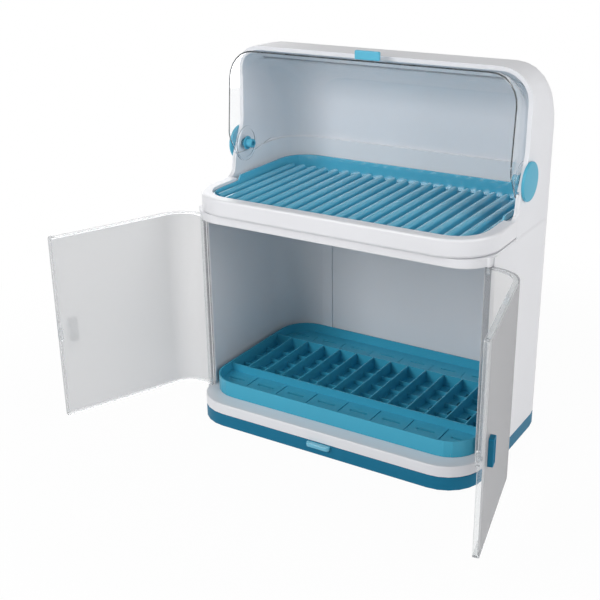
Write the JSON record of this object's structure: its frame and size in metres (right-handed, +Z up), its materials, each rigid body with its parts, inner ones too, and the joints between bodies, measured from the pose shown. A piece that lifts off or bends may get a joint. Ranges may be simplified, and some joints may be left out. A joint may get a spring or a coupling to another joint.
{
  "type": "covered dish rack",
  "caption": "Two-storey moulded dish rack: a cabinet with two curved clear doors and a pull-out drip tray, and a hood with a clear swing-up lid over a ridged drainer.",
  "frame": {"origin": "the middle of the rack's footprint, on the floor, where the base pan rests", "axes": "+X runs across the rack to its right side, +Y to the back and +Z up; the front faces -Y"},
  "size_m": [0.6638, 0.4488, 0.5501],
  "materials": {
    "white_plastic": "satin moulded",
    "teal_plastic": "satin moulded",
    "bright_teal_plastic": "satin moulded",
    "pale_teal_plastic": "satin moulded",
    "clear_plastic": "clear polished",
    "frosted_plastic": "translucent"
  },
  "bodies": {
    "cabinet": {"base_pan": "teal_plastic", "base_frame": "white_plastic", "side_panel_left": "white_plastic", "side_panel_right": "white_plastic", "back_panel": "white_plastic", "top_frame": "white_plastic", "upper_frame": "white_plastic", "hood": "white_plastic", "pivot_cap_left": "bright_teal_plastic", "pivot_cap_right": "bright_teal_plastic", "pivot_hub_left": "bright_teal_plastic", "pivot_hub_right": "bright_teal_plastic", "hinge_pin_left_bottom": "clear_plastic", "hinge_pin_left_top": "clear_plastic", "hinge_pin_right_bottom": "clear_plastic", "hinge_pin_right_top": "clear_plastic"},
    "lid": {"lid": "clear_plastic", "lid_tab": "pale_teal_plastic"},
    "door_left": {"door_left": "frosted_plastic", "door_handle_left": "teal_plastic"},
    "door_right": {"door_right": "frosted_plastic", "door_handle_right": "teal_plastic"},
    "drip_tray": {"drip_tray": "teal_plastic", "tray_pull": "pale_teal_plastic"},
    "lower_drainer": {"lower_drainer": "teal_plastic"},
    "upper_drainer": {"upper_drainer": "bright_teal_plastic"}
  },
  "joints": [
    {"name": "lid_hinge", "type": "hinge", "parent": "cabinet", "child": "lid", "pos_m": [0, 0.011, 0.3935], "axis": [1, 0, 0], "range_deg": [0, 95]},
    {"name": "door_left_hinge", "type": "hinge", "parent": "cabinet", "child": "door_left", "pos_m": [-0.2205, -0.0978, 0.174], "axis": [0, 0, -1], "range_deg": [-112.5, 0]},
    {"name": "door_right_hinge", "type": "hinge", "parent": "cabinet", "child": "door_right", "pos_m": [0.2205, -0.0978, 0.174], "axis": [0, 0, 1], "range_deg": [-102, 10.5]},
    {"name": "drip_tray_slide", "type": "slide", "parent": "cabinet", "child": "drip_tray", "axis": [0, -1, 0], "range_m": [0, 0.24]},
    {"name": "lower_drainer_slide", "type": "slide", "parent": "cabinet", "child": "lower_drainer", "axis": [0, -1, 0], "range_m": [0, 0.24]},
    {"name": "upper_drainer_lift", "type": "slide", "parent": "cabinet", "child": "upper_drainer", "axis": [0, 0, 1], "range_m": [0, 0.03]}
  ]
}
